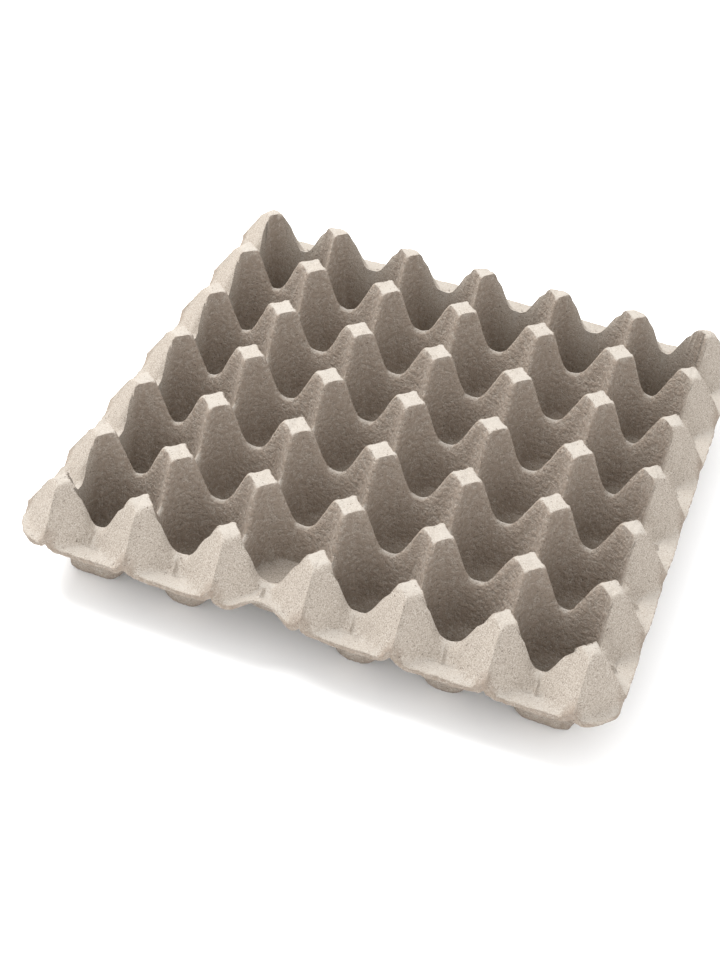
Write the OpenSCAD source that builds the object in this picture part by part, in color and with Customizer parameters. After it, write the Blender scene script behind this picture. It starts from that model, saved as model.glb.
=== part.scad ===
// Pulp egg tray: six rows of six pockets, moulded as one thin shell.
// The origin is the middle of the tray, at the level that its feet stand on.

/* [Pockets] */
// Number of pockets along each side
pocket_rows = 6; // [2:1:8]
// Distance between the middles of two neighbouring pockets
pitch = 48; // [42:0.5:60]
// Height of the posts' tops above the feet
post_h = 65; // [55:1:78]
// Height of the saddle between two posts
saddle_h = 41; // [34:0.5:49]
// Thickness of the pulp
wall = 2.2; // [1.6:0.1:3]

/* [Posts] */
// Half the width of a post's flat top, measured along the rows
cap_r = 7.25; // [5.5:0.25:9]
// Distance from a post's middle to the bend in its ridge
bend_r = 14.5; // [13:0.25:16.5]
// Height of the bend in a ridge
bend_h = 51; // [50:0.5:54]

/* [Feet] */
// Distance from a pocket's middle to the edge of its floor
floor_r = 5.5; // [4:0.25:8]
// How far a pocket's wall stands in from the line of the posts, half way up
waist_in = 8.5; // [7:0.25:10.5]
// Height of that half-way ring
waist_h = 19; // [15:0.5:23]
// How far the outer wall of an outer pocket leans in, from its lip to its floor
outer_lean = 1.5; // [0.5:0.25:6]
// Pocket whose foot is crushed, counted from the left of the front row
crushed_pocket = 2; // [0:1:7]
// How far the crushed foot is pushed up
crush_rise = 12; // [0:0.5:14]

/* [Rim] */
// How much nearer the outermost line of posts is than a full pitch
edge_in = 3.5; // [0:0.25:5]
// How far the lip of an outer pocket lies inside the line of the posts
lip_in = 1; // [0:0.25:2]
// Width of the flat top of the lip
lip_w = 2; // [1:0.25:3]
// How far an edge post's sloping cap reaches beyond the line of the posts
brow_out = 3.5; // [2.5:0.25:6]
// Drop of that sloping cap
brow_drop = 4; // [1:0.25:6]
// Distance from the line of the posts to the foot of an edge post's ridge
ridge_out = 18; // [14:0.5:22]
// Height of the foot of a ridge
ridge_foot_h = 41; // [35:0.5:46]
// Distance from the line of the posts to the recess between two edge posts
recess_out = 12.5; // [9:0.25:13.5]
// Height of the flange
flange_h = 34.5; // [29:0.5:37]
// Width of the flange beyond the foot of a ridge
flange_w = 1.5; // [1:0.25:5]
// How far the flange bulges out between two ridges
flange_bulge = 1.5; // [0:0.25:4]
// How far the flange of the crushed pocket is torn back
torn_in = 7; // [0:0.5:8]
// How far the torn edge is lifted
torn_rise = 3.5; // [0:0.25:5]

/* [Hidden] */

// Directions around a pocket, an eighth of a turn apart, starting east
eighth = 45;
// A floor is nearly square, and a pocket is round at its waist
floor_corner = 1.25;
waist_corner = 1.0;
// What the wall adds along a steep face, across a floor edge and under a crest
face_skin = 1.05 * wall;
floor_skin = 0.9 * wall;
saddle_skin = 1.9 * wall;
bend_skin = 2.5 * wall;

half = pitch / 2;
span = pocket_rows * half;
last = pocket_rows - 1;
// The outermost line of posts, the lip inside it and the ring half way up a pocket
edge = span - edge_in;
lip_r = half - edge_in - lip_in;
waist_r = half - waist_in;
outer_floor_r = lip_r - outer_lean;
outer_waist_r = lip_r - outer_lean / 2;

// Stations along one stretch between two posts: cap corner, bend, saddle, bend, cap corner
STATIONS = 5;
CELL_POINTS = 1 + 8 + 8 + 4;
EDGE_ROWS = 3;
EDGE_POINTS = EDGE_ROWS * STATIONS;

function line_at(i) = min(max(i * pitch - span, -edge), edge);
function middle(i) = i * pitch + half - span;
function station_at(i, k, under) =
    let (r = cap_r - (under ? wall : 0))
    [line_at(i) + r, line_at(i) + bend_r, middle(i), line_at(i + 1) - bend_r, line_at(i + 1) - r][k];
function station_z(k, under) =
    [post_h - (under ? wall : 0), bend_h - (under ? bend_skin : 0),
     saddle_h - (under ? saddle_skin : 0), bend_h - (under ? bend_skin : 0),
     post_h - (under ? wall : 0)][k];
// Share of the lip's setback at each station
function set_back(k) = LIP_SHARE[k] * lip_in;

// Points on the lines of posts
function post_points(under) =
    [for (j = [0:pocket_rows], i = [0:pocket_rows])
        [line_at(i), line_at(j), post_h - (under ? wall : 0)]];
function inset_side(j) = j == 0 ? 1 : j == pocket_rows ? -1 : 0;
function row_points(under) =
    [for (j = [0:pocket_rows], i = [0:last], k = [0:STATIONS - 1])
        [station_at(i, k, under), line_at(j) + inset_side(j) * set_back(k), station_z(k, under)]];
function column_points(under) =
    [for (j = [0:last], i = [0:pocket_rows], k = [0:STATIONS - 1])
        [line_at(i) + inset_side(i) * set_back(k), station_at(j, k, under), station_z(k, under)]];

// Points inside one pocket: middle, floor ring, waist ring and the middles of the cap edges
function is_crushed(i, j) = j == 0 && i == crushed_pocket;
function reach(c, low, high, r, outer) = c < 0 ? (low ? outer / r : 1) : (high ? outer / r : 1);
function ring(i, j, r, outer, corner, grow, z) =
    [for (k = [0:7])
        let (a = k * eighth, q = (k % 2 == 0 ? 1 : corner), c = cos(a), s = sin(a),
             u = r * q * c * reach(c, i == 0, i == last, r, outer),
             v = r * q * s * reach(s, j == 0, j == last, r, outer))
        [middle(i) + u + grow * c, middle(j) + v + grow * s, z]];
function cell_points(i, j, under) =
    let (lift = is_crushed(i, j) ? crush_rise : 0,
         floor_z = lift + (under ? 0 : wall),
         waist_z = waist_h + lift / 3 - (under ? wall / 4 : 0),
         m = (cap_r - (under ? wall : 0)) / 2)
    concat([[middle(i), middle(j), floor_z]],
        ring(i, j, floor_r, outer_floor_r, floor_corner, under ? floor_skin : 0, floor_z),
        ring(i, j, waist_r, outer_waist_r, waist_corner, under ? face_skin : 0, waist_z),
        [for (k = [0:3])
            let (east = k == 0 || k == 3 ? 1 : 0, north = k < 2 ? 1 : 0)
            [line_at(i + east) + m * (1 - 2 * east), line_at(j + north) + m * (1 - 2 * north),
                post_h - (under ? wall : 0)]]);

function cells(under) = [for (j = [0:last], i = [0:last]) each cell_points(i, j, under)];

// The rim outside the posts, made for the front side and turned to the other three.
// Rows from inside outwards: top of the lip or brow, inner line of the flange, outer edge.
// The lists give each station's share, from one post to the next
TORN_SHARE = [0.15, 0.7, 1, 0.8, 0.1];
BULGE_SHARE = [0.25, 0.65, 1, 0.65, 0.25];
LIP_SHARE = [0, 0.5, 1, 0.5, 0];
RECESS_SHARE = [0.05, 0.35, 1, 0.35, 0.05];
INNER_DROP = [0.5, 1, 1, 1, 0.5];
OUTER_DROP = [0.85, 1, 1, 1, 0.85];
TOP_SKIN = [2.2, 2.4, 1.2, 2.4, 2.2];
brow_out_side = 0.9 * lip_w;
brow_side_h = post_h - brow_drop / 3;
function torn(side, i, k) = side == 0 && i == crushed_pocket ? TORN_SHARE[k] : 0;
function rim_out(row, k, side, i) =
    row == 0 ? brow_out_side + (lip_w - lip_in - brow_out_side) * LIP_SHARE[k] :
    row == 1 ? ridge_out + (recess_out - ridge_out) * RECESS_SHARE[k] :
    ridge_out + flange_w + flange_bulge * BULGE_SHARE[k] - torn_in * torn(side, i, k);
function rim_z(row, k, side, i) =
    row == 0 ? [brow_side_h, bend_h, saddle_h, bend_h, brow_side_h][k] :
    ridge_foot_h + (flange_h - ridge_foot_h) * (row == 1 ? INNER_DROP : OUTER_DROP)[k]
        + torn_rise * torn(side, i, k);
function rim_skin(row, k) = row == 0 ? TOP_SKIN[k] * wall : wall;
// How much further in the lower skin lies, row by row
UNDER_IN = [0.4, 0.6, 0];
function rim_in(row, under) = under ? -wall * UNDER_IN[row] : 0;
function turned(p, side) =
    side == 0 ? p :
    side == 1 ? [-p[1], p[0], p[2]] :
    side == 2 ? [-p[0], -p[1], p[2]] :
    [p[1], -p[0], p[2]];
function rim_points(under) =
    [for (side = [0:3], i = [0:last], row = [0:EDGE_ROWS - 1], k = [0:STATIONS - 1])
        turned([station_at(i, k, under && row == 0),
            -edge - rim_out(row, k, side, i) - rim_in(row, under),
            rim_z(row, k, side, i) - (under ? rim_skin(row, k) : 0)], side)];
// Points in line with each post along one side, first and last posts included:
// brow, foot of the ridge, outer edge
CROWN_SKIN = [2, 1.6, 1];
crown_out = [brow_out, ridge_out, ridge_out + flange_w];
crown_h = [post_h - brow_drop, ridge_foot_h, ridge_foot_h];
function crown_points(under) =
    [for (side = [0:3], i = [0:pocket_rows], row = [0:EDGE_ROWS - 1])
        turned([line_at(i), -edge - crown_out[row] - rim_in(row, under) * 2,
            crown_h[row] - (under ? CROWN_SKIN[row] * wall : 0)], side)];
// Outer edge of the rounded lobe at each corner
lobe = ridge_out + flange_w;
lobe_bulge = 1.1;
lobe_h = (ridge_foot_h + flange_h) / 2;
function lobe_points(under) =
    [for (side = [0:3], a = [-60, -45, -30])
        turned([edge + lobe * lobe_bulge * cos(a), -edge + lobe * lobe_bulge * sin(a),
            lobe_h - (under ? wall : 0)], side)];

function skin(under) = concat(cells(under), row_points(under), column_points(under),
    post_points(under), rim_points(under), crown_points(under), lobe_points(under));

// Where each group of points starts
n = pocket_rows;
ROWS_FROM = n * n * CELL_POINTS;
COLUMNS_FROM = ROWS_FROM + (n + 1) * n * STATIONS;
POSTS_FROM = COLUMNS_FROM + (n + 1) * n * STATIONS;
RIM_FROM = POSTS_FROM + (n + 1) * (n + 1);
CROWN_FROM = RIM_FROM + 4 * n * EDGE_POINTS;
LOBE_FROM = CROWN_FROM + 4 * (n + 1) * EDGE_ROWS;
SKIN_POINTS = LOBE_FROM + 4 * 3;

function cell_id(i, j, k) = (j * n + i) * CELL_POINTS + k;
function floor_id(i, j, k) = cell_id(i, j, 1 + k % 8);
function waist_id(i, j, k) = cell_id(i, j, 9 + k % 8);
function cap_id(i, j, k) = cell_id(i, j, 17 + k);
function row_id(i, j, k) = ROWS_FROM + (j * n + i) * STATIONS + k;
function column_id(i, j, k) = COLUMNS_FROM + (j * (n + 1) + i) * STATIONS + k;
function post_id(i, j) = POSTS_FROM + j * (n + 1) + i;
function rim_id(side, i, row, k) = RIM_FROM + ((side * n + i) * EDGE_ROWS + row) * STATIONS + k;
function crown_id(side, i, row) = CROWN_FROM + (side * (n + 1) + i) * EDGE_ROWS + row;
function lobe_id(side, k) = LOBE_FROM + side * 3 + k;

// The stations around a pocket, from the east saddle round by the north
function around(i, j) = [
    column_id(i + 1, j, 2), column_id(i + 1, j, 3), column_id(i + 1, j, 4), cap_id(i, j, 0),
    row_id(i, j + 1, 4), row_id(i, j + 1, 3), row_id(i, j + 1, 2), row_id(i, j + 1, 1),
    row_id(i, j + 1, 0), cap_id(i, j, 1), column_id(i, j, 4), column_id(i, j, 3),
    column_id(i, j, 2), column_id(i, j, 1), column_id(i, j, 0), cap_id(i, j, 2),
    row_id(i, j, 0), row_id(i, j, 1), row_id(i, j, 2), row_id(i, j, 3),
    row_id(i, j, 4), cap_id(i, j, 3), column_id(i + 1, j, 0), column_id(i + 1, j, 1)];
function corner_post(i, j, k) =
    [post_id(i + 1, j + 1), post_id(i, j + 1), post_id(i, j), post_id(i + 1, j)][k];

// Faces of one pocket, anticlockwise from above
function pocket_faces(i, j) =
    let (loop = around(i, j))
    concat(
        [for (k = [0:7]) [cell_id(i, j, 0), floor_id(i, j, k), floor_id(i, j, k + 1)]],
        [for (k = [0:7]) each [
            [floor_id(i, j, k), waist_id(i, j, k), waist_id(i, j, k + 1)],
            [floor_id(i, j, k), waist_id(i, j, k + 1), floor_id(i, j, k + 1)]]],
        [for (k = [0:3]) each [
            [waist_id(i, j, 2 * k), loop[6 * k], loop[6 * k + 1]],
            [waist_id(i, j, 2 * k), loop[6 * k + 1], waist_id(i, j, 2 * k + 1)],
            [waist_id(i, j, 2 * k + 1), loop[6 * k + 1], loop[6 * k + 2]],
            [waist_id(i, j, 2 * k + 1), loop[6 * k + 2], loop[6 * k + 3]],
            [waist_id(i, j, 2 * k + 1), loop[6 * k + 3], loop[6 * k + 4]],
            [waist_id(i, j, 2 * k + 1), loop[6 * k + 4], loop[6 * k + 5]],
            [waist_id(i, j, 2 * k + 1), loop[6 * k + 5], waist_id(i, j, 2 * k + 2)],
            [waist_id(i, j, 2 * k + 2), loop[6 * k + 5], loop[(6 * k + 6) % 24]],
            [loop[6 * k + 3], loop[6 * k + 2], corner_post(i, j, k)],
            [loop[6 * k + 4], loop[6 * k + 3], corner_post(i, j, k)]]]);

// The line of posts as seen from one side, left to right
function side_post(side, i) =
    [post_id(i, 0), post_id(n, i), post_id(n - i, n), post_id(0, n - i)][side];
function side_station(side, i, k) =
    side == 0 ? row_id(i, 0, k) :
    side == 1 ? column_id(n, i, k) :
    side == 2 ? row_id(last - i, n, STATIONS - 1 - k) :
    column_id(0, last - i, STATIONS - 1 - k);
// One quad as two triangles: a, b are inside, left and right, and c, d lie outside them
function quad(a, b, c, d) = [[a, c, d], [a, d, b]];
function mirrored_quad(a, b, c, d) = [[a, c, b], [b, c, d]];
function rim_faces(side, i) =
    concat(
        [for (k = [0:STATIONS - 2]) each
            quad(side_station(side, i, k), side_station(side, i, k + 1),
                rim_id(side, i, 0, k), rim_id(side, i, 0, k + 1))],
        [for (row = [0:1], k = [0:STATIONS - 2]) each k < 2 ?
            quad(rim_id(side, i, row, k), rim_id(side, i, row, k + 1),
                rim_id(side, i, row + 1, k), rim_id(side, i, row + 1, k + 1)) :
            mirrored_quad(rim_id(side, i, row, k), rim_id(side, i, row, k + 1),
                rim_id(side, i, row + 1, k), rim_id(side, i, row + 1, k + 1))],
        mirrored_quad(side_post(side, i), side_station(side, i, 0),
            crown_id(side, i, 0), rim_id(side, i, 0, 0)),
        quad(side_station(side, i, STATIONS - 1), side_post(side, i + 1),
            rim_id(side, i, 0, STATIONS - 1), crown_id(side, i + 1, 0)),
        [for (row = [0:1]) each concat(
            quad(crown_id(side, i, row), rim_id(side, i, row, 0),
                crown_id(side, i, row + 1), rim_id(side, i, row + 1, 0)),
            mirrored_quad(rim_id(side, i, row, STATIONS - 1), crown_id(side, i + 1, row),
                rim_id(side, i, row + 1, STATIONS - 1), crown_id(side, i + 1, row + 1)))]);
// The corner between one side and the next
function corner_faces(side) =
    let (next = (side + 1) % 4,
         a = [for (row = [0:2]) crown_id(side, n, row)],
         b = [for (row = [0:2]) crown_id(next, 0, row)])
    [[side_post(side, n), a[0], b[0]],
     [a[0], a[1], b[0]], [b[0], a[1], b[1]],
     [a[1], a[2], lobe_id(side, 0)], [a[1], lobe_id(side, 0), lobe_id(side, 1)],
     [a[1], lobe_id(side, 1), b[1]],
     [b[1], lobe_id(side, 1), lobe_id(side, 2)], [b[1], lobe_id(side, 2), b[2]]];

// The outer edge, all the way round
edge_loop = [for (side = [0:3]) each concat(
    [for (i = [0:last]) each
        concat([crown_id(side, i, 2)], [for (k = [0:STATIONS - 1]) rim_id(side, i, 2, k)])],
    [crown_id(side, n, 2), lobe_id(side, 0), lobe_id(side, 1), lobe_id(side, 2)])];

module tray() {
    upper = concat([for (j = [0:last], i = [0:last]) each pocket_faces(i, j)],
        [for (side = [0:3], i = [0:last]) each rim_faces(side, i)],
        [for (side = [0:3]) each corner_faces(side)]);
    count = len(edge_loop);
    edge = [for (k = [0:count - 1])
        let (a = edge_loop[k], b = edge_loop[(k + 1) % count])
        each [[a, b, b + SKIN_POINTS], [a, b + SKIN_POINTS, a + SKIN_POINTS]]];
    color([0.80, 0.77, 0.72])
        polyhedron(
            points = concat(skin(false), skin(true)),
            faces = concat(
                [for (f = upper) [f[0], f[2], f[1]]],
                [for (f = upper) [f[0] + SKIN_POINTS, f[1] + SKIN_POINTS, f[2] + SKIN_POINTS]],
                edge));
}

tray();
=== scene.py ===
import math

import bmesh
import bpy
import numpy as np
from mathutils import Matrix, Vector, noise


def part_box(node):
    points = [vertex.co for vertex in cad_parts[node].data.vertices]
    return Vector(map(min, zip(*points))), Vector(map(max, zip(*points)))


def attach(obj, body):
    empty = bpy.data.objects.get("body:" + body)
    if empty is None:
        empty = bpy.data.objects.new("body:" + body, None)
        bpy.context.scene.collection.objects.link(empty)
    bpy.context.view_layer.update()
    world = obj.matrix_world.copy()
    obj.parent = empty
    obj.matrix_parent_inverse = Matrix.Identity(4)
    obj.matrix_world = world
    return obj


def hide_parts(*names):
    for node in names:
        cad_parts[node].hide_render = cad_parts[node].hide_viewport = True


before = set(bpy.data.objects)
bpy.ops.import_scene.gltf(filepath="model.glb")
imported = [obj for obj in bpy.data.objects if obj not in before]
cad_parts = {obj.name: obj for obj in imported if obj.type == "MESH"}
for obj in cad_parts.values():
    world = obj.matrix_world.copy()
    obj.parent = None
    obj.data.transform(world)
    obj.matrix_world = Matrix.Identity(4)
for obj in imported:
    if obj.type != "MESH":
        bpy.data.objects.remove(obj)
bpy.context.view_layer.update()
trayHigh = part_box("tray")[1]
mm = 0.001

tray = {  # millimetres
    "pockets": 6,
    "pitch": 48.0,
    "edgeLine": 140.5,        # outermost line of posts, from the tray's middle
    "postTop": trayHigh.z / mm,
    "saddle": 41.0,           # ridge height half way between two posts
    "wall": 2.2,
    "cap": 7.9,               # post middle to the corner of its flat top
    "capSlope": 1.2,          # the ridge starts gently and then falls away
    "capSlopeLength": 1.2,
    "ridgeFall": 2.35,
    "saddleCurve": 0.06,
    "crestInset": 1.2,        # pocket wall meets the ridge this far from its line
    "crestOut": -0.3,         # the same at the rim
    "floor": 4.9,             # half the width of a pocket's floor
    "floorOut": 19.4,         # the same towards the rim, in the outer pockets
    "floorPower": 3,          # a higher power is squarer from above
    "waist": 17.4,
    "waistOut": 20.3,
    "waistPower": 2.4,
    "waistPowerOut": 4.0,
    "waistHeight": 15.0,
    "flangeHeight": 34.5,
    "flangeEdge": 20.0,       # line of posts to the outer edge, at a ridge
    "bulge": 0.7,             # further between two ridges
    "bulgeFrom": (1, 12),     # rises over these distances from a ridge
    "rags": ((3.1, 0.55), (1.3, 0.35)),   # lumps of the cut edge: their size, and how high
    "ragInward": 0.1,
    "lobe": 21.0,             # radius of the rounded corner
    "lobeFrom": (0, 0.35),    # it widens over this much of the turn, in radians
}

rim = {  # millimetres outside the line of posts, and heights
    "browFrom": 2.0,
    "browFall": 0.75,
    "ridgeFrom": 6.0,
    "ridgeTop": 62.0,
    "ridgeSlope": 1.55,
    "facetSlope": 1.12,
    "cheekSlope": 0.35,
    "lipBelow": 0.5,          # below the saddles
    "lipOut": 1.8,
    "lipDrop": 1.0,           # the lip's outer face is steep, then the scoop runs out
    "lipFace": 1.6,
    "scoopSlope": 0.62,
    "ledgeFrom": 12.3,        # the scoop ends in a groove below the ledge
    "grooveDepth": 3,
    "grooveWidth": 0.9,
    "dartHeight": 3.0,        # small upright rib near the middle of each scoop
    "dartWidth": 1.0,
    "dartBefore": 1.2,
    "dartLean": 0.14,
    "dartUpright": 8,         # its lean is nought this far out
    "dartStart": (4, 7),
    "dartEnd": (11, 13),
    "seam": 1.0,              # thin raised line along each outer ridge
    "seamWidth": 0.7,
    "shoulder": 3.2,
    "shoulderFrom": (-7, -1),
    "joinFrom": (-2.5, -0.5),  # the inside's shape gives way to the rim's
    "wallTo": 8,              # the pocket walls are followed this far out
    "cornerRise": 1.0,        # above the flange
}

rounding = {  # millimetres over which two faces run into each other
    "crest": 0.6,
    "bend": 0.8,
    "saddle": 4,
    "waist": 2,
    "floor": 2.5,
    "mouth": 0.06,            # a share of the pocket's width
    "inside": 1.0,
    "rimWall": 0.8,
    "brow": 0.8,
    "cheek": 1.0,
    "facet": 0.3,
    "scoop": 1.0,
    "lip": 0.8,
    "ledge": 0.3,
    "ridgeFoot": 0.9,
    "cornerBrow": 1.2,
    "cornerRidge": 0.5,
    "cornerFoot": 1.6,
}

damage = {
    "pocket": 2,              # front row, counted from the left
    "footLift": 17.0,
    "waistShare": 3,          # the waist rises by a third of that
    "tornBack": 5.5,
    "tornLeft": (-16, 1),     # from the pocket's middle
    "tornRight": (6, 22),
    "tornRag": 1.4,
    "tornLift": 5.5,
    "liftOut": (2, 14),
    "liftLeft": (-18, -2),
    "liftRight": (0, 22),
}

crease = {  # shallow line across the flat top of each post, in millimetres
    "depth": 0.5,
    "width": 1.1,
    "aside": 1.6,
    "fade": (4.5, 7.5),
    "angle": 0.7,             # radians
    "turn": 2.4,
    "angleStep": (5.1, 3.7),  # from one post to the next, along a row and a column
    "asideStep": (2.3, 4.9),
}


# soft minimum and maximum of two heights, rounded over a distance k
def softMin(a, b, k):
    h = np.clip(0.5 + 0.5 * (b - a) / k, 0, 1)
    return b + (a - b) * h - k * h * (1 - h)


def softMax(a, b, k):
    return -softMin(-a, -b, k)


def smooth(x, low, high):
    t = np.clip((x - low) / (high - low), 0, 1)
    return t * t * (3 - 2 * t)


def superRound(a, b, power):
    return np.power(np.power(a, power) + np.power(b, power), 1 / power)


# where the lines of posts and the middles of the pockets lie
half = tray["pitch"] / 2
span = tray["pockets"] * half
edge = tray["edgeLine"]
lines = np.clip(np.arange(tray["pockets"] + 1) * tray["pitch"] - span, -edge, edge)
middles = np.arange(tray["pockets"]) * tray["pitch"] + half - span


# which pocket, the distance from its middle, the half width on that side,
# and whether that side is the rim's
def alongAxis(x):
    cell = np.clip(np.floor((x + span) / tray["pitch"]).astype(int), 0, tray["pockets"] - 1)
    p = x - middles[cell]
    outer = ((cell == 0) & (p < 0)) | ((cell == tray["pockets"] - 1) & (p > 0))
    width = np.where(outer, edge - middles[-1], half)
    return cell, p, width, outer


# height of a ridge at a distance from its nearest post, its shoulder rounded over k
def ridgeHeight(s, width, k):
    bend = tray["cap"] + tray["capSlopeLength"]
    gentle = tray["postTop"] - tray["capSlope"] * (s - tray["cap"])
    steep = (tray["postTop"] - tray["capSlope"] * tray["capSlopeLength"]
             - tray["ridgeFall"] * (s - bend))
    fall = softMin(gentle, steep, rounding["bend"])
    bottom = tray["saddle"] + tray["saddleCurve"] * np.square(np.maximum(width - s, 0))
    return softMin(tray["postTop"] + 0 * s, softMax(fall, bottom, rounding["saddle"]), k)


# height of a pocket's wall and floor, as if the wall went on past the ridges
def pocketWall(x, y):
    i, p, wx, outX = alongAxis(x)
    j, q, wy, outY = alongAxis(y)
    tiny = 1e-6
    ap, aq = np.abs(p) + tiny, np.abs(q) + tiny
    r = np.hypot(ap, aq)
    insetX = np.where(outX, tray["crestOut"], tray["crestInset"])
    insetY = np.where(outY, tray["crestOut"], tray["crestInset"])
    floorX = np.where(outX, tray["floorOut"], tray["floor"])
    floorY = np.where(outY, tray["floorOut"], tray["floor"])
    waistX = np.where(outX, tray["waistOut"], tray["waist"])
    waistY = np.where(outY, tray["waistOut"], tray["waist"])
    # each foot is a steep sided trough, wider at the top than at its floor
    flareX = np.maximum((ap - floorX) / (waistX - floorX), 0) + tiny
    flareY = np.maximum((aq - floorY) / (waistY - floorY), 0) + tiny
    flare = superRound(flareX, flareY, tray["floorPower"])
    waistPower = np.where(outX | outY, tray["waistPowerOut"], tray["waistPower"])
    waistR = r / superRound(ap / waistX, aq / waistY, waistPower)
    box = np.maximum(ap / (wx - insetX), aq / (wy - insetY))
    corner = (ap + aq) / (wx + wy - tray["cap"])
    topR = r / softMax(box, corner, rounding["mouth"])
    # where the ray from the pocket's middle meets the ridge, and how high the ridge is there
    alongX, alongY = wx - ap * topR / r, wy - aq * topR / r
    station = np.maximum(alongX, alongY)
    topZ = ridgeHeight(station, np.where(alongX > alongY, wx, wy), rounding["crest"])
    crushed = (i == damage["pocket"]) & (j == 0)
    lift = np.where(crushed, damage["footLift"], 0)
    floorZ = tray["wall"] + lift
    waistZ = tray["waistHeight"] + lift / damage["waistShare"]
    lower = floorZ + (waistZ - floorZ) * flare
    least = 0.5  # so that a wall is never quite upright
    upper = waistZ + (topZ - waistZ) * (r - waistR) / np.maximum(topR - waistR, least)
    wall = softMax(lower, upper, rounding["waist"])
    return softMax(floorZ + 0 * r, wall, rounding["floor"])


# out: distance outside the line of posts; s: from the nearest post along the side;
# t: from the post where counting starts, which puts the dart to one side of the middle
def rimSide(out, s, width, t):
    top = tray["postTop"]
    fallen = top - rim["browFall"] * (out - rim["browFrom"])
    brow = softMin(top + 0 * out, fallen, rounding["brow"])
    facet = (rim["ridgeTop"] - rim["ridgeSlope"] * (out - rim["ridgeFrom"])
             - rim["facetSlope"] * s)
    facet = facet + rim["seam"] * np.exp(-np.square(s / rim["seamWidth"]))
    cheek = ridgeHeight(s, width, rim["shoulder"]) - rim["cheekSlope"] * np.maximum(out, 0)
    post = softMin(softMin(brow, cheek, rounding["cheek"]), facet, rounding["facet"])
    lip = tray["saddle"] - rim["lipBelow"]
    face = lip - rim["lipDrop"] * (out - rim["lipOut"])
    run = (lip - rim["lipDrop"] * rim["lipFace"]
           - rim["scoopSlope"] * (out - rim["lipOut"] - rim["lipFace"]))
    scoop = softMin(lip + 0 * out, softMax(face, run, rounding["scoop"]), rounding["lip"])
    dartLine = width - rim["dartBefore"] + rim["dartLean"] * (out - rim["dartUpright"])
    dart = rim["dartHeight"] * np.exp(-np.square((t - dartLine) / rim["dartWidth"]))
    scoop = scoop + dart * smooth(out, *rim["dartStart"]) * (1 - smooth(out, *rim["dartEnd"]))
    groove = 1 - smooth(out, rim["ledgeFrom"] - rim["grooveWidth"], rim["ledgeFrom"])
    ledge = tray["flangeHeight"] - rim["grooveDepth"] * groove
    return softMax(post, softMax(scoop, ledge, rounding["ledge"]), rounding["ridgeFoot"])


def rimCorner(outX, outY):
    top = tray["postTop"]
    ridge = rim["ridgeTop"] - rim["ridgeSlope"] * (outX + outY - rim["ridgeFrom"])
    browOut = np.hypot(np.maximum(outX, 0), np.maximum(outY, 0)) - rim["browFrom"]
    brow = softMin(top + 0 * outX, top - rim["browFall"] * browOut, rounding["cornerBrow"])
    flange = tray["flangeHeight"] + rim["cornerRise"] + 0 * outX
    post = softMin(ridge, brow, rounding["cornerRidge"])
    return softMax(post, flange, rounding["cornerFoot"])


# sines of the post's row and column give each post a crease of its own
def creaseDepth(x, y):
    a = np.abs(x[..., None] - lines).argmin(-1)
    b = np.abs(y[..., None] - lines).argmin(-1)
    rowStep, columnStep = crease["angleStep"]
    angle = crease["angle"] + crease["turn"] * np.sin(a * rowStep + b * columnStep)
    rowStep, columnStep = crease["asideStep"]
    aside = crease["aside"] * np.sin(a * rowStep + b * columnStep)
    u, v = x - lines[a], y - lines[b]
    away = u * np.sin(angle) - v * np.cos(angle) - aside
    onCap = 1 - smooth(np.abs(u) + np.abs(v), *crease["fade"])
    return crease["depth"] * np.exp(-np.square(away / crease["width"])) * onCap


# height of the tray's upper side
def trayHeight(x, y):
    i, p, wx, _ = alongAxis(x)
    _, q, wy, _ = alongAxis(y)
    sx, sy = wx - np.abs(p), wy - np.abs(q)
    reach = edge + rim["wallTo"]
    wall = pocketWall(np.clip(x, -reach, reach), np.clip(y, -reach, reach))
    outX, outY = np.abs(x) - edge, np.abs(y) - edge
    outer = np.maximum(outX, outY)
    sharp = rounding["crest"]
    shoulder = sharp + (rim["shoulder"] - sharp) * smooth(outer, *rim["shoulderFrom"])
    crest = ridgeHeight(np.maximum(np.maximum(sx, sy), 0), np.where(sx > sy, wx, wy), shoulder)
    inside = softMin(wall, crest, rounding["inside"])
    # the four sides, each seen along its own direction, from post to post
    tx = np.where(q * np.sign(x) < 0, sy, 2 * wy - sy)
    ty = np.where(p * -np.sign(y) < 0, sx, 2 * wx - sx)
    sideX = rimSide(outX, np.abs(sy), wy, tx)
    sideY = rimSide(outY, np.abs(sx), wx, ty)
    rimZ = np.where(outX > outY, sideX, sideY)
    rimZ = np.where((outX > 0) & (outY > 0), rimCorner(outX, outY), rimZ)
    rimWall = softMin(wall, rimZ, rounding["rimWall"])
    joined = inside + (rimWall - inside) * smooth(outer, *rim["joinFrom"])
    z = np.where(outer < rim["joinFrom"][0], inside, joined)
    torn = (i == damage["pocket"]) & (y < -edge)
    arch = smooth(p, *damage["liftLeft"]) * (1 - smooth(p, *damage["liftRight"]))
    lifted = damage["tornLift"] * smooth(outY, *damage["liftOut"]) * arch
    z = z + np.where(torn, lifted, 0)
    return z - creaseDepth(x, y)


meshing = {
    "perPocket": 32,          # squares across a pocket
    "nearPost": [0, 1.6, 3.2, 4.8, 6.2, 7.2, tray["cap"], 8.9, 10.2],
    "overRim": [1.3, 2.7, 4.2, 5.8, 7.6, 9.5, 11.2, 12.0, 12.8, 15.4, 19.0, tray["flangeEdge"]],
    "crowding": 0.085,        # of the rim's lines, at the ridges and darts
    "crowdFrom": (-6, 1.5),
    "ringFrom": 0.5,          # diamonds round the posts keep their shape to here, past the cap
    "ringTo": 15,             # and are squares again this far out
    "ringToOut": 10,
    "ringOut": (-1, 3),
    "fieldStep": 0.5,         # fineness of the height field below the tray
    "fieldBeyond": 26,
    "sideways": 0.5,          # of the true shift, which keeps the lines of the grid in order
}


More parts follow.
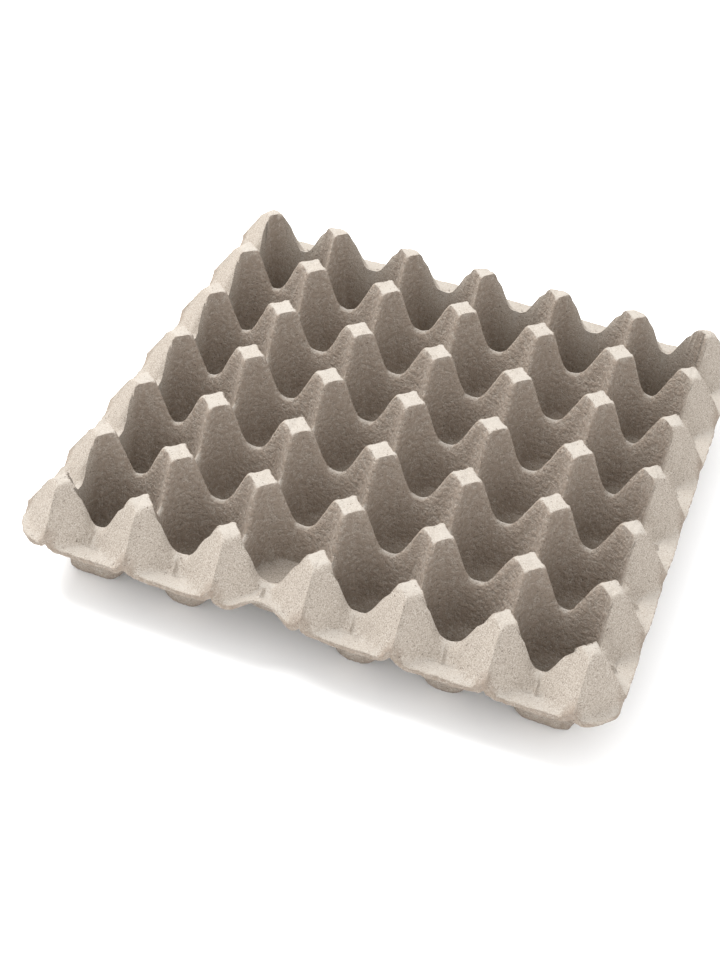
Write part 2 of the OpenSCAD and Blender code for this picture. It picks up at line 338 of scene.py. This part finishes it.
# uneven rise and fall, about -1 to 1, at points in millimetres, in lumps of this size
def lumps(points, size, seed):
    shift = Vector((seed * 17.3, seed * 5.1, seed * 9.7))
    return np.array([noise.noise(Vector(p) / size + shift) for p in points])


# several sizes of lumps together
def layered(points, layers, seed):
    return sum(lumps(points, size, seed + k) * rise for k, (size, rise) in enumerate(layers))


# distance of every grid line from its line of posts, for a half pocket of this width
def lineDistances(width):
    near = meshing["nearPost"]
    count = meshing["perPocket"] // 2 - len(near) + 1
    far = [near[-1] + (width - near[-1]) * (k / count) for k in range(1, count + 1)]
    return np.array(near + far)


def rimDistances(width):
    u = np.linspace(0, 1, meshing["perPocket"] // 2 + 1)
    return width * (u - meshing["crowding"] * np.sin(2 * math.pi * u))


# all the grid lines along one side, from edge to edge
def axisPlaces(distances):
    places = []
    for k in range(tray["pockets"]):
        left = distances(middles[k] - lines[k])
        right = distances(lines[k + 1] - middles[k])
        places += list(lines[k] + left[:-1]) + list(lines[k + 1] - right[::-1])[:-1]
    places.append(lines[-1])
    steps = np.array(meshing["overRim"])
    return np.array(list(-edge - steps[::-1]) + places + list(edge + steps))


def makeSheet():
    total = tray["pockets"] * meshing["perPocket"] + 2 * len(meshing["overRim"])
    bm = bmesh.new()
    bmesh.ops.create_grid(bm, x_segments=total, y_segments=total, size=total / 2)
    bm.verts.ensure_lookup_table()
    index = np.array([[round(v.co.x + total / 2), round(v.co.y + total / 2)] for v in bm.verts])
    return bm, index


# near a post the square rings of the grid turn into diamonds
def diamondRings(x, y, outX, outY):
    px = x - lines[np.argmin(np.abs(x[:, None] - lines[None, :]), 1)]
    py = y - lines[np.argmin(np.abs(y[:, None] - lines[None, :]), 1)]
    tiny = 1e-9
    ring = np.maximum(np.abs(px), np.abs(py)) + tiny
    diamond = ring / (np.abs(px) + np.abs(py) + tiny)
    outside = smooth(np.maximum(outX, outY), *meshing["ringOut"])
    ringTo = meshing["ringTo"] - (meshing["ringTo"] - meshing["ringToOut"]) * outside
    weight = 1 - smooth(ring, tray["cap"] + meshing["ringFrom"], ringTo)
    return x - px * weight * (1 - diamond), y - py * weight * (1 - diamond)


def roundCorners(x, y):
    outX, outY = np.abs(x) - edge, np.abs(y) - edge
    both = (outX > 0) & (outY > 0)
    big, small = np.maximum(outX, outY), np.minimum(outX, outY)
    turn = math.pi / 4 * small / np.maximum(big, 1e-6)
    cornerX = np.where(outX >= outY, big * np.cos(turn), big * np.sin(turn))
    cornerY = np.where(outX >= outY, big * np.sin(turn), big * np.cos(turn))
    stretch = tray["lobe"] / tray["flangeEdge"]
    grow = 1 + (stretch - 1) * smooth(turn, *tray["lobeFrom"])
    x = np.where(both, np.sign(x) * (edge + cornerX * grow), x)
    y = np.where(both, np.sign(y) * (edge + cornerY * grow), y)
    return x, y


# how far out the flange's edge moves: it bulges between two ridges, is ragged, and is torn
def flangePush(x, y, frontOrBack):
    along, across = (x, y) if frontOrBack else (y, x)
    out = np.abs(across) - edge
    cell, p, width, _ = alongAxis(along)
    s = np.clip(width - np.abs(p), 0, None)
    reach = np.clip(out / tray["flangeEdge"], 0, None)
    push = tray["bulge"] * smooth(s, *tray["bulgeFrom"]) * reach ** 2
    rag = layered(np.stack([x, y, 0 * x], 1), tray["rags"], 1)
    push = push + np.where(reach > 0, rag - tray["ragInward"], 0) * reach ** 6
    tornHere = (cell == damage["pocket"]) & frontOrBack & (y < 0)
    arch = smooth(p, *damage["tornLeft"]) * (1 - smooth(p, *damage["tornRight"]))
    tear = damage["tornBack"] * arch + damage["tornRag"] * rag
    push = push - np.where(tornHere, tear * reach ** 2, 0)
    return np.sign(across) * np.where((np.abs(along) < edge) & (out > 0), push, 0)


def placeSheet(index):
    inner = axisPlaces(lineDistances)
    outer = axisPlaces(rimDistances)
    i, j = index[:, 0], index[:, 1]
    x0, y0 = inner[i], inner[j]
    outX, outY = np.abs(x0) - edge, np.abs(y0) - edge
    # across the rim the lines crowd at the ridges and the darts instead of round the caps
    low, high = meshing["crowdFrom"]
    x = np.where(outY > low, x0 + (outer[i] - x0) * smooth(outY, low, high), x0)
    y = np.where(outX > low, y0 + (outer[j] - y0) * smooth(outX, low, high), y0)
    x, y = roundCorners(*diamondRings(x, y, outX, outY))
    y = y + flangePush(x, y, True)
    x = x + flangePush(x, y, False)
    return x, y


cutEdge = {  # millimetres; the plies part a little there, which makes it thicker
    "thicker": 0.8,
    "thickFrom": (15, 19),
    "uprightFrom": (12, 18),
    "rows": 2,
    "sideShare": 0.8,         # the points move square to the side more than from the middle
    "middleShare": 0.2,
    "outward": 0.1,
    "rough": 0.45,
    "grain": 1.7,
}


# value of a field at places between its points
def sample(field, u, v):
    a = np.clip(u.astype(int), 0, len(field) - 2)
    b = np.clip(v.astype(int), 0, len(field) - 2)
    fu, fv = u - a, v - b
    return (field[a, b] * (1 - fu) * (1 - fv) + field[a + 1, b] * fu * (1 - fv)
            + field[a, b + 1] * (1 - fu) * fv + field[a + 1, b + 1] * fu * fv)


# the tray's lower side for an even wall: its upper side worn back by a ball of that radius
def underSide(x, y):
    step, radius = meshing["fieldStep"], tray["wall"]
    reach = edge + meshing["fieldBeyond"]
    axis = np.arange(-reach, reach + step, step)
    gx, gy = np.meshgrid(axis, axis, indexing="ij")
    top = trayHeight(gx, gy)
    low, high = cutEdge["thickFrom"]
    outermost = np.maximum(np.abs(gx), np.abs(gy))
    thicker = cutEdge["thicker"] * smooth(outermost, edge + low, edge + high)
    under = np.full_like(top, 1e9)
    k = int(radius / step)
    for a in range(-k, k + 1):
        for b in range(-k, k + 1):
            d2 = (a * a + b * b) * step * step
            if d2 <= radius * radius:
                moved = np.roll(np.roll(top, a, 0), b, 1) - math.sqrt(radius * radius - d2)
                under = np.minimum(under, moved)
    under = under - thicker
    slopeX, slopeY = np.gradient(top, step)
    u, v = (x + reach) / step, (y + reach) / step
    gradX, gradY = sample(slopeX, u, v), sample(slopeY, u, v)
    length = np.sqrt(1 + gradX ** 2 + gradY ** 2)
    share = meshing["sideways"]
    shiftX, shiftY = gradX / length * radius * share, gradY / length * radius * share
    low, high = cutEdge["uprightFrom"]
    nearEdge = smooth(np.maximum(np.abs(x), np.abs(y)), edge + low, edge + high)
    shiftX, shiftY = shiftX * (1 - nearEdge), shiftY * (1 - nearEdge)
    ux, uy = x + shiftX, y + shiftY
    return ux, uy, sample(under, (ux + reach) / step, (uy + reach) / step)


# more rows of points round the cut edge, moved in and out
def roughenEdge(bm, upper, lower):
    upperSet, lowerSet = set(upper), set(lower)
    rungs = [e for e in bm.edges if (e.verts[0] in upperSet) != (e.verts[1] in upperSet)
             and (e.verts[0] in lowerSet) != (e.verts[1] in lowerSet)]
    known = set(bm.verts)
    bmesh.ops.subdivide_edges(bm, edges=rungs, cuts=cutEdge["rows"])
    limit = trayHigh.x
    for v in bm.verts:
        if v in known:
            continue
        out = Vector((v.co.x, v.co.y, 0)).normalized()
        if abs(v.co.x) > abs(v.co.y):
            side = Vector((math.copysign(1, v.co.x), 0, 0))
        else:
            side = Vector((0, math.copysign(1, v.co.y), 0))
        direction = (side * cutEdge["sideShare"] + out * cutEdge["middleShare"]).normalized()
        wave = noise.noise(v.co / (cutEdge["grain"] * mm))
        v.co += direction * (cutEdge["outward"] + cutEdge["rough"] * wave) * mm
        v.co.x = max(-limit, min(limit, v.co.x))
        v.co.y = max(-limit, min(limit, v.co.y))


masks = {  # distance outside the posts, upward share of the normal, height
    "inside": (-1.5, 1.5),
    "cut": (17, 19),
    "cutUpright": (0.35, 0.75),
    "wallUpright": (0.55, 0.9),
    "facingDown": (0.0, 0.3),
    "underShare": 0.7,        # how much painted shade the underside gets
    "facingUp": (0.72, 0.95),
    "topLightFrom": (20, 34),
}


# painted light and shade at each point: tops and ledges high up get painted light from above, and
# pocket walls, undersides and the front-facing cut edge get painted shade, where the bump is also
# coarser
def paintMasks(mesh):
    co = np.empty(len(mesh.vertices) * 3)
    mesh.vertices.foreach_get("co", co)
    co = co.reshape(-1, 3) / mm
    normal = np.empty(len(mesh.vertices) * 3)
    mesh.vertices.foreach_get("normal", normal)
    up = normal.reshape(-1, 3)[:, 2]
    out = np.maximum(np.abs(co[:, 0]), np.abs(co[:, 1])) - edge
    inside = 1 - smooth(out, *masks["inside"])
    cut = smooth(out, *masks["cut"]) * (1 - smooth(np.abs(up), *masks["cutUpright"]))
    walls = inside * (1 - smooth(up, *masks["wallUpright"]))
    under = smooth(-up, *masks["facingDown"]) * masks["underShare"]
    shadeAndCoarse = np.clip(walls + under + cut, 0, 1)
    paintedTopLight = smooth(up, *masks["facingUp"]) * smooth(co[:, 2], *masks["topLightFrom"])
    for name, values in (("shadeAndCoarse", shadeAndCoarse), ("paintedTopLight", paintedTopLight)):
        layer = mesh.attributes.new(name, "FLOAT", "POINT")
        layer.data.foreach_set("value", values.astype(np.float32))


surface = {  # millimetres
    "waves": ((45, 0.8), (14, 0.45)),     # size of the lumps, and how high
    "grains": ((5.0, 0.35), (2.3, 0.2)),
    "grainsBelow": ((2.6, 0.3),),
    "floorGrain": 0.3,        # share of the grain that the floors keep
    "sink": 0.15,
    "evenBelow": (3, 12),     # the floors are pressed flatter than the rest
    "thinnest": 0.9,
    "smoothings": 3,
    "smoothTo": 14,           # outside the posts
    "footSnap": 0.6,          # points this low stand on the ground
    "footSettle": 0.4,
    "sharpAngle": 50,
}


def buildTray():
    bm, index = makeSheet()
    x, y = placeSheet(index)
    z = trayHeight(x, y)
    ux, uy, uz = underSide(x, y)
    print("tray: heights done,", len(x), "points a side")
    points = np.stack([x, y, z], 1)
    wave = layered(points, surface["waves"], 3)
    grain = layered(points, surface["grains"], 5)
    low = smooth(z, *surface["evenBelow"])
    calm = surface["floorGrain"]
    bump = wave * low + grain * (calm + (1 - calm) * low)
    z = np.minimum(z + bump - surface["sink"], tray["postTop"])
    below = uz + wave * low + layered(np.stack([ux, uy, uz], 1), surface["grainsBelow"], 7)
    uz = np.maximum(np.minimum(below, z - surface["thinnest"]), 0)
    uz[uz < surface["footSnap"]] = 0
    start = list(bm.verts)
    walls = bmesh.ops.extrude_face_region(bm, geom=bm.faces[:], use_keep_orig=True)
    lower = [v for v in walls["geom"] if isinstance(v, bmesh.types.BMVert)]
    # each new point lies on the one it came from until they are placed
    where = {(round(v.co.x * 2), round(v.co.y * 2)): k for k, v in enumerate(start)}
    pairs = [(v, where[(round(v.co.x * 2), round(v.co.y * 2))]) for v in lower]
    for k, v in enumerate(start):
        v.co = (x[k] * mm, y[k] * mm, z[k] * mm)
    for v, k in pairs:
        v.co = (ux[k] * mm, uy[k] * mm, uz[k] * mm)
    # steep foot walls come out of the offset a little folded
    smoothTo = edge + surface["smoothTo"]
    folded = [v for v, k in pairs if max(abs(ux[k]), abs(uy[k])) < smoothTo]
    for again in range(surface["smoothings"]):
        bmesh.ops.smooth_vert(bm, verts=folded, factor=0.5,
                              use_axis_x=True, use_axis_y=True, use_axis_z=True)
    for v in folded:
        v.co.z = 0 if v.co.z < surface["footSettle"] * mm else v.co.z
    roughenEdge(bm, start, lower)
    bmesh.ops.recalc_face_normals(bm, faces=bm.faces[:])
    mesh = bpy.data.meshes.new("pulpTray")
    bm.to_mesh(mesh)
    bm.free()
    piece = bpy.data.objects.new("pulpTray", mesh)
    bpy.context.scene.collection.objects.link(piece)
    for polygon in mesh.polygons:
        polygon.use_smooth = True
    mesh.set_sharp_from_angle(angle=math.radians(surface["sharpAngle"]))
    paintMasks(mesh)
    print("tray:", len(mesh.polygons), "faces")
    return piece


piece = buildTray()
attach(piece, "root")
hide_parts("tray")


pulp = {
    "base": (0.325, 0.286, 0.243, 1),
    "dark": (0.18, 0.147, 0.118, 1),
    "light": (0.43, 0.39, 0.343, 1),
    # painted shade colour for walls, undersides and the cut edge, then painted top light colour
    # for tops and ledges
    "shadeAndCoarse": (0.215, 0.167, 0.13, 1),
    "paintedTopLight": (0.365, 0.34, 0.307, 1),
    "speck": (0.07, 0.047, 0.035, 1),
    "fineScale": 1500,        # lumps to the metre
    "speckScale": 900,
    "middleScale": 420,
    "broadScale": 60,
    "fibres": (0.34, 0.66),   # limits within a noise, from dark to light
    "patches": (0.3, 0.7),    # each layer below varies by its share above its least
    "patchShare": 0.45,
    "patchLeast": 0.2,
    "coarse": (0.35, 0.6),
    "coarseShare": 0.45,
    "coarseLeast": 0.25,
    # broad patches in how strong the painted top light is
    "topLightPatches": (0.35, 0.65),
    "topLightPatchShare": 0.25,
    "topLightPatchLeast": 0.35,
    "specks": (0.66, 0.72),
    "speckShare": 0.7,
    "fineHeight": 0.5,
    "middleHeight": 0.8,
    "deepHeight": 3.0,
    "broadHeight": 0.4,
    "roughness": 0.95,
    "specular": 0.2,
    "bumpStrength": 0.7,
    "bumpDistance": 0.0006,   # metres
}


# a socket that takes part in sums written as Python expressions
class Value:
    def __init__(self, tree, socket):
        self.tree, self.socket = tree, socket

    def make(self, kind, settings=None, **inputs):
        node = self.tree.nodes.new(kind)
        for name, value in (settings or {}).items():
            setattr(node, name, value)
        for name, value in inputs.items():
            numbered = name[0] == "i" and name[1:].isdigit()
            socket = node.inputs[int(name[1:]) if numbered else name]
            if isinstance(value, Value):
                self.tree.links.new(value.socket, socket)
            else:
                socket.default_value = value
        return node

    def math(self, operation, a, b=0.0):
        node = self.make("ShaderNodeMath", {"operation": operation}, i0=a, i1=b)
        return Value(self.tree, node.outputs[0])

    def __add__(self, other):
        return self.math("ADD", self, other)

    __radd__ = __add__

    def __mul__(self, other):
        return self.math("MULTIPLY", self, other)

    __rmul__ = __mul__


def pulpMaterial():
    material = bpy.data.materials.new("mouldedPulp")
    material.use_nodes = True
    tree = material.node_tree
    shader = tree.nodes["Principled BSDF"]
    start = Value(tree, None)
    place = Value(tree, start.make("ShaderNodeTexCoord").outputs["Object"])

    def noiseAt(scale, detail=3.0, rough=0.6):
        node = start.make("ShaderNodeTexNoise", {"noise_dimensions": "3D"},
                          Vector=place, Scale=scale, Detail=detail, Roughness=rough)
        return Value(tree, node.outputs[0])

    def between(value, low, high):
        node = start.make("ShaderNodeMapRange", {"interpolation_type": "SMOOTHSTEP"}, Value=value)
        node.inputs["From Min"].default_value = low
        node.inputs["From Max"].default_value = high
        return Value(tree, node.outputs[0])

    def mixed(factor, a, b):
        node = start.make("ShaderNodeMix", {"data_type": "RGBA"}, i0=factor, i6=a, i7=b)
        return Value(tree, node.outputs[2])

    def mask(name):
        node = start.make("ShaderNodeAttribute", {"attribute_name": name})
        return Value(tree, node.outputs["Fac"])

    fine, middle = noiseAt(pulp["fineScale"]), noiseAt(pulp["middleScale"])
    broad = noiseAt(pulp["broadScale"])
    shadeAndCoarse, paintedTopLight = mask("shadeAndCoarse"), mask("paintedTopLight")
    # light and dark fibres, calmed by the base colour in patches
    colour = mixed(between(fine, *pulp["fibres"]), pulp["dark"], pulp["light"])
    patches = between(middle, *pulp["patches"]) * pulp["patchShare"] + pulp["patchLeast"]
    colour = mixed(patches, colour, pulp["base"])
    # painted shade in coarse patches on pocket walls, undersides and the cut edge, and painted
    # light from above on tops and ledges
    coarse = between(middle, *pulp["coarse"]) * pulp["coarseShare"] + pulp["coarseLeast"]
    colour = mixed(shadeAndCoarse * coarse, colour, pulp["shadeAndCoarse"])
    topLightPatches = between(broad, *pulp["topLightPatches"]) * pulp["topLightPatchShare"] + pulp["topLightPatchLeast"]
    colour = mixed(paintedTopLight * topLightPatches, colour, pulp["paintedTopLight"])
    # scattered dark specks
    specks = between(noiseAt(pulp["speckScale"], 2.0, 0.5), *pulp["specks"])
    colour = mixed(specks * pulp["speckShare"], colour, pulp["speck"])
    tree.links.new(colour.socket, shader.inputs["Base Color"])
    shader.inputs["Roughness"].default_value = pulp["roughness"]
    shader.inputs["Specular IOR Level"].default_value = pulp["specular"]
    coarser = shadeAndCoarse * pulp["deepHeight"] + pulp["middleHeight"]
    height = fine * pulp["fineHeight"] + middle * coarser + broad * pulp["broadHeight"]
    bump = start.make("ShaderNodeBump", None, Height=height,
                      Strength=pulp["bumpStrength"], Distance=pulp["bumpDistance"])
    tree.links.new(bump.outputs[0], shader.inputs["Normal"])
    return material


piece.data.materials.append(pulpMaterial())
print("pulp finish done")

camera = {
    "azimuth": 16.1,          # degrees
    "elevation": 41.2,
    "roll": -6.4,
    "lens": 62.2,             # millimetres
    "sensor": 36,
    "distance": 0.9587,       # metres
    "right": -0.0225,         # where it aims, from the middle of the tray's feet
    "up": 0.0038,
}


def addCamera():
    a, e, r = (math.radians(camera[k]) for k in ("azimuth", "elevation", "roll"))
    back = Vector((math.sin(a) * math.cos(e), -math.cos(a) * math.cos(e), math.sin(e)))
    right = Vector((math.cos(a), math.sin(a), 0))
    up = back.cross(right)
    turnedRight = right * math.cos(r) - up * math.sin(r)
    turnedUp = right * math.sin(r) + up * math.cos(r)
    place = turnedRight * camera["right"] + turnedUp * camera["up"] + back * camera["distance"]
    data = bpy.data.cameras.new("camera")
    data.lens = camera["lens"]
    data.sensor_width = camera["sensor"]
    item = bpy.data.objects.new("camera", data)
    axes = Matrix((turnedRight, turnedUp, back)).transposed().to_4x4()
    item.matrix_world = Matrix.Translation(place) @ axes
    bpy.context.scene.collection.objects.link(item)
    bpy.context.scene.camera = item


lights = {  # metres and watts
    "keyLight": {"place": (-0.9, 0.3, 1.6), "size": 1.1, "power": 44},
    "fillLight": {"place": (0.9, -1.5, 1.0), "size": 1.4, "power": 6.5},
}

room = {
    "floorSize": 6,
    "floorColour": (0.92, 0.92, 0.92, 1),
    "floorRoughness": 0.9,
    "skyColour": (1, 1, 1, 1),
    "skyStrength": 1.45,
}


def addLight(name, place, size, power):
    data = bpy.data.lights.new(name, "AREA")
    data.shape = "DISK"
    data.size = size
    data.energy = power
    item = bpy.data.objects.new(name, data)
    turned = Vector(place).normalized().to_track_quat("Z", "Y").to_matrix().to_4x4()
    item.matrix_world = Matrix.Translation(place) @ turned
    bpy.context.scene.collection.objects.link(item)


def addRoom():
    bm = bmesh.new()
    bmesh.ops.create_grid(bm, x_segments=1, y_segments=1, size=room["floorSize"])
    mesh = bpy.data.meshes.new("floor")
    bm.to_mesh(mesh)
    bm.free()
    floor = bpy.data.objects.new("floor", mesh)
    bpy.context.scene.collection.objects.link(floor)
    paint = bpy.data.materials.new("whitePaper")
    paint.use_nodes = True
    shader = paint.node_tree.nodes["Principled BSDF"]
    shader.inputs["Base Color"].default_value = room["floorColour"]
    shader.inputs["Roughness"].default_value = room["floorRoughness"]
    mesh.materials.append(paint)
    world = bpy.data.worlds.new("studio")
    world.use_nodes = True
    sky = world.node_tree.nodes["Background"]
    sky.inputs["Color"].default_value = room["skyColour"]
    sky.inputs["Strength"].default_value = room["skyStrength"]
    bpy.context.scene.world = world
    bpy.context.scene.view_settings.view_transform = "Standard"


addCamera()
addRoom()
for name, light in lights.items():
    addLight(name, **light)
print("camera and lights done")
